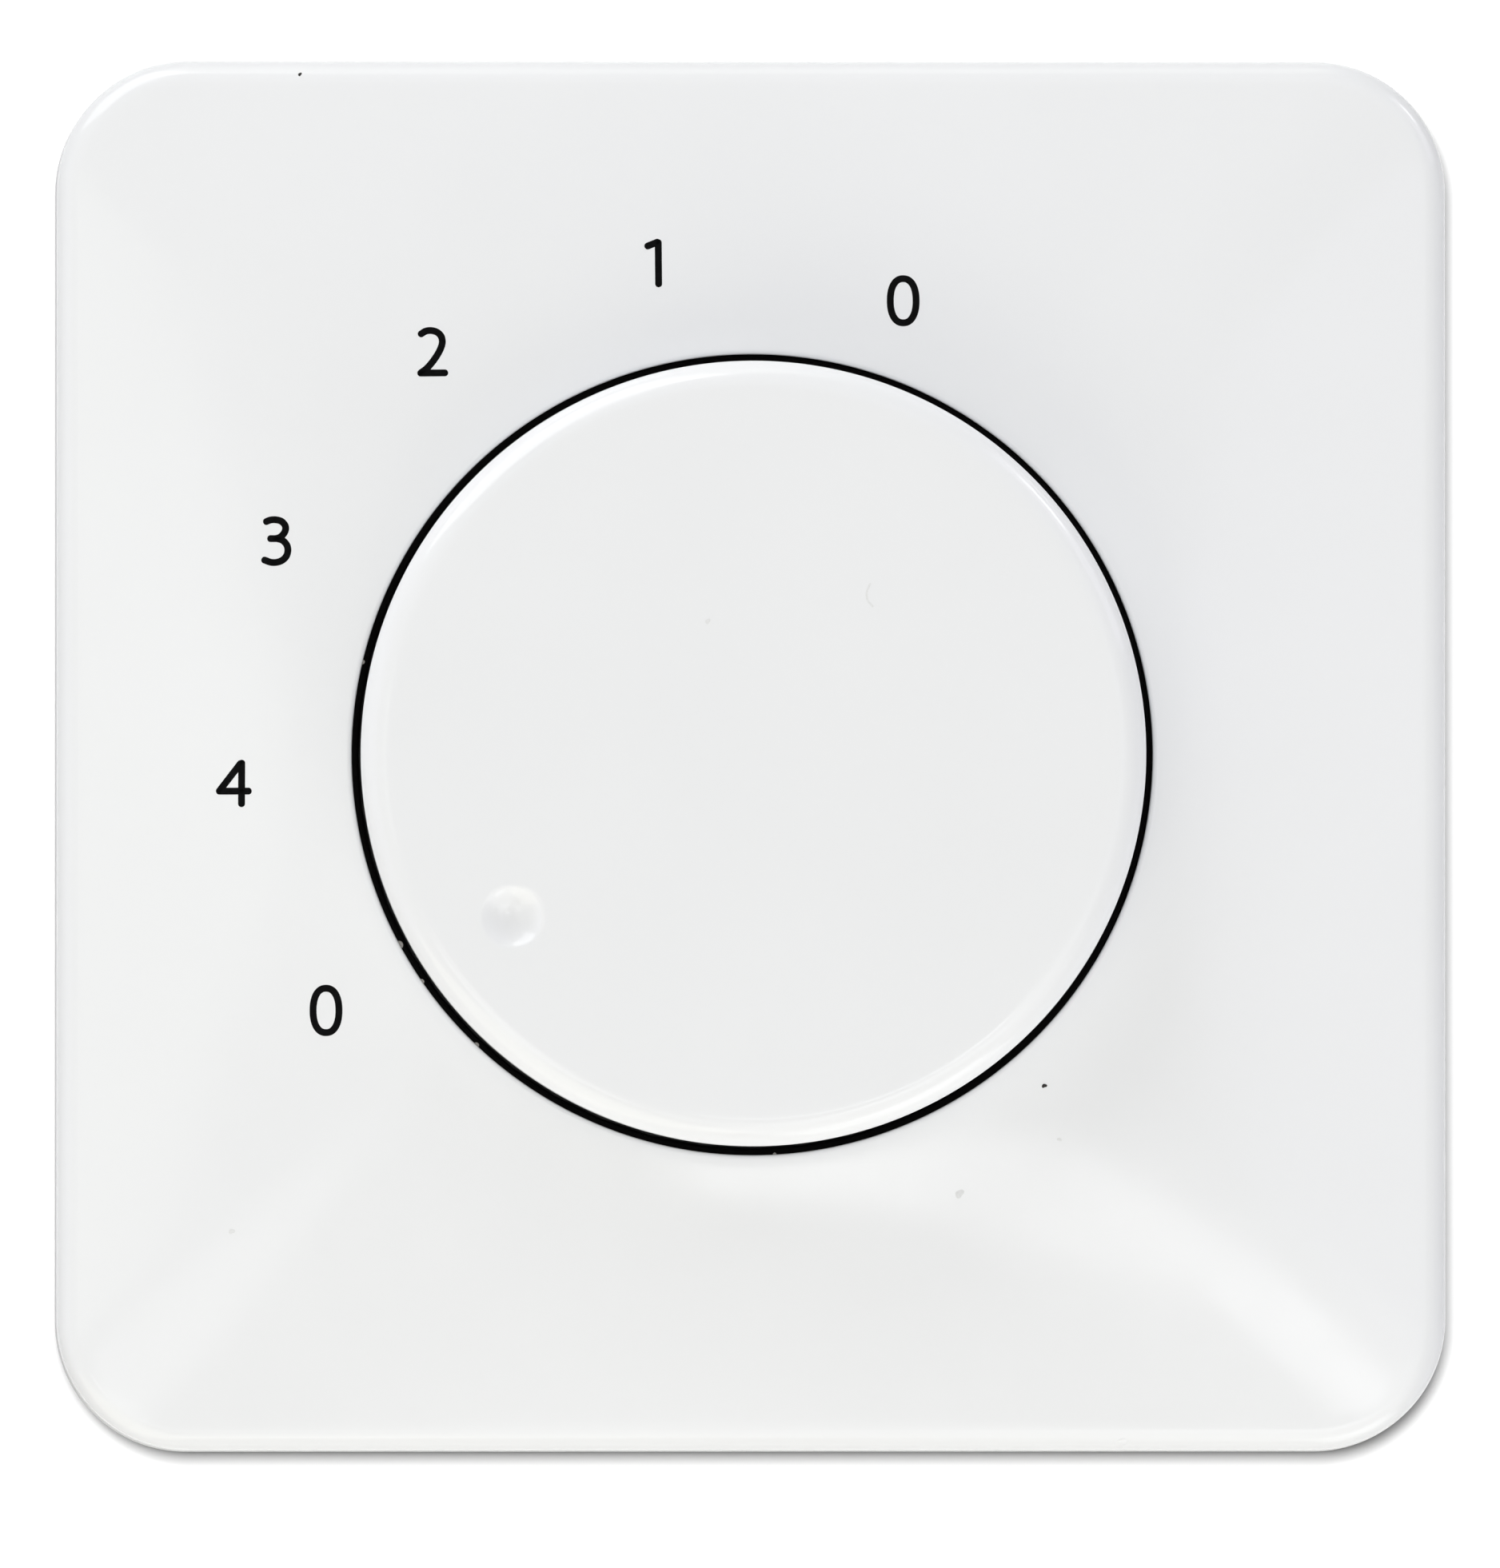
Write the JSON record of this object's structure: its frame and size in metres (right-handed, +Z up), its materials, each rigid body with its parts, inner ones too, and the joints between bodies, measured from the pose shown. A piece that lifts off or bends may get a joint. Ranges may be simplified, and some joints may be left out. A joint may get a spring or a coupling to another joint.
{
  "type": "fan wall switch",
  "caption": "Flush rotary fan speed switch: square white cover plate, low round turn knob, printed numerals, switch insert for a round wall box behind.",
  "frame": {"origin": "on the knob's axis, in the plane of the wall (the back face of the steel mounting frame)", "axes": "+Z up, front towards -Y, wall box towards +Y, +X to the right seen from the front"},
  "size_m": [0.08, 0.0368, 0.08],
  "materials": {
    "white_moulding": "white glossy moulded plastic",
    "black_moulding": "black moulded plastic",
    "grey_moulding": "grey moulded insulating plastic, matt",
    "nylon": "natural moulded plastic, satin",
    "zinc_steel": "bright zinc plated steel",
    "spring_steel": "bare spring steel",
    "brass": "turned and stamped brass",
    "bronze": "stamped bronze"
  },
  "bodies": {
    "switch": {"cover_plate": "white_moulding", "clamp_disc": "black_moulding", "lock_washer": "spring_steel", "lock_nut": "brass", "threaded_bush": "brass", "support_ring": "zinc_steel", "switch_lid": "grey_moulding", "lid_screw_1": "zinc_steel", "lid_screw_2": "zinc_steel", "lid_screw_3": "zinc_steel", "lid_screw_4": "zinc_steel", "switch_base": "grey_moulding", "detent_spring": "spring_steel", "common_contact": "brass", "speed_contact_1": "brass", "speed_contact_2": "brass", "speed_contact_3": "brass", "speed_contact_4": "brass", "terminal_common": "brass", "terminal_1": "brass", "terminal_2": "brass", "terminal_3": "brass", "terminal_4": "brass", "terminal_screw_common": "zinc_steel", "terminal_screw_1": "zinc_steel", "terminal_screw_2": "zinc_steel", "terminal_screw_3": "zinc_steel", "terminal_screw_4": "zinc_steel"},
    "turning_knob": {"knob": "white_moulding", "knob_spring_ring": "spring_steel", "spindle": "zinc_steel", "retaining_ring": "spring_steel", "detent_wheel": "nylon", "contact_rotor": "nylon", "wiper": "bronze", "wiper_spring": "spring_steel"}
  },
  "joints": [
    {"name": "knob_turn", "type": "hinge", "parent": "switch", "child": "turning_knob", "pos_m": [0, 0, 0], "axis": [0, 1, 0], "range_deg": [0, 140], "deforming": ["detent_spring"]}
  ]
}
